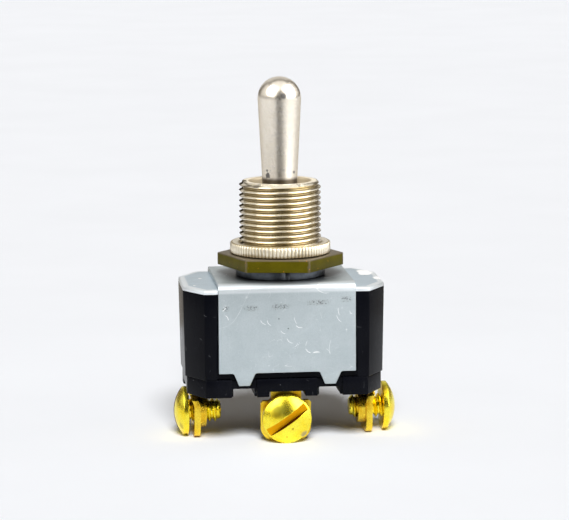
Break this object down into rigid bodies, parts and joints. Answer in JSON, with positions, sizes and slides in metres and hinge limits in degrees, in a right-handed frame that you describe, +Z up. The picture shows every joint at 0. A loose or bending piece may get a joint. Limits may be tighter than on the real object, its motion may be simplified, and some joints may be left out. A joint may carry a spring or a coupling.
{
  "type": "toggle switch",
  "caption": "Heavy-duty panel toggle switch with a bat lever, threaded bushing, bent metal frame, black moulded case and brass screw terminals.",
  "frame": {"origin": "on the bushing axis, in the plane that the three terminals stand on", "axes": "+Z up along the bushing axis to the lever's tip, +X along the length of the case, the way the lever throws; the common terminal faces -Y"},
  "size_m": [0.0326, 0.0184, 0.0523],
  "materials": {
    "lever_nickel": "satin nickel plate",
    "bushing_nickel": "bright nickel plate",
    "knurled_nickel": "nickel plate",
    "hex_brass": "dull olive brass",
    "washer_steel": "dark grey steel",
    "frame_zinc": "zinc plate",
    "cover_zinc": "zinc plate",
    "case_phenolic": "black moulded phenolic",
    "terminal_brass": "bright brass",
    "screw_brass": "bright brass",
    "pin_steel": "bright steel",
    "plunger_nylon": "natural nylon",
    "spring_steel": "spring steel",
    "rocker_bronze": "bronze",
    "contact_silver": "silver"
  },
  "bodies": {
    "housing": {"mounting_frame": "frame_zinc", "cover_plate": "cover_zinc", "case": "case_phenolic", "terminal_base": "case_phenolic", "threaded_bushing": "bushing_nickel", "lock_washer": "washer_steel", "pivot_pin": "pin_steel", "rocker_post": "rocker_bronze", "fixed_contact_left": "contact_silver", "fixed_contact_right": "contact_silver", "terminal_left": "terminal_brass", "terminal_common": "terminal_brass", "terminal_right": "terminal_brass"},
    "lever": {"bat_lever": "lever_nickel", "plunger_spring": "spring_steel"},
    "plunger": {"plunger": "plunger_nylon"},
    "rocker": {"contact_rocker": "rocker_bronze", "rocker_contact_left": "contact_silver", "rocker_contact_right": "contact_silver"},
    "hex_nut": {"hex_nut": "hex_brass"},
    "knurled_nut": {"knurled_nut": "knurled_nickel"},
    "screw_left": {"terminal_screw_left": "screw_brass"},
    "screw_common": {"terminal_screw_common": "screw_brass"},
    "screw_right": {"terminal_screw_right": "screw_brass"}
  },
  "joints": [
    {"name": "lever_tilt", "type": "hinge", "parent": "housing", "child": "lever", "pos_m": [0, 0, 0.0297], "axis": [0, 1, 0], "range_deg": [-13, 13]},
    {"name": "plunger_slide", "type": "slide", "parent": "lever", "child": "plunger", "axis": [0, 0, 1], "range_m": [0, 0.0006], "stiffness_N_per_m": 800, "springref_m": -0.001, "deforming": ["plunger_spring"]},
    {"name": "rocker_tilt", "type": "hinge", "parent": "housing", "child": "rocker", "pos_m": [0, 0, 0.0113], "axis": [0, 1, 0], "range_deg": [-6, 6]},
    {"name": "hex_nut_travel", "type": "slide", "parent": "housing", "child": "hex_nut", "axis": [0, 0, 1], "range_m": [0, 0.003]},
    {"name": "knurled_nut_travel", "type": "slide", "parent": "hex_nut", "child": "knurled_nut", "axis": [0, 0, 1], "range_m": [0, 0.0058]},
    {"name": "screw_left_travel", "type": "slide", "parent": "housing", "child": "screw_left", "axis": [-1, 0, 0], "range_m": [-0.00004, 0.003]},
    {"name": "screw_common_travel", "type": "slide", "parent": "housing", "child": "screw_common", "axis": [0, -1, 0], "range_m": [-0.00044, 0.0022]},
    {"name": "screw_right_travel", "type": "slide", "parent": "housing", "child": "screw_right", "axis": [1, 0, 0], "range_m": [-0.00104, 0.0016]}
  ],
  "couplings": [
    {"joint": "rocker_tilt", "follows": "lever_tilt", "ratio": -0.4615}
  ]
}
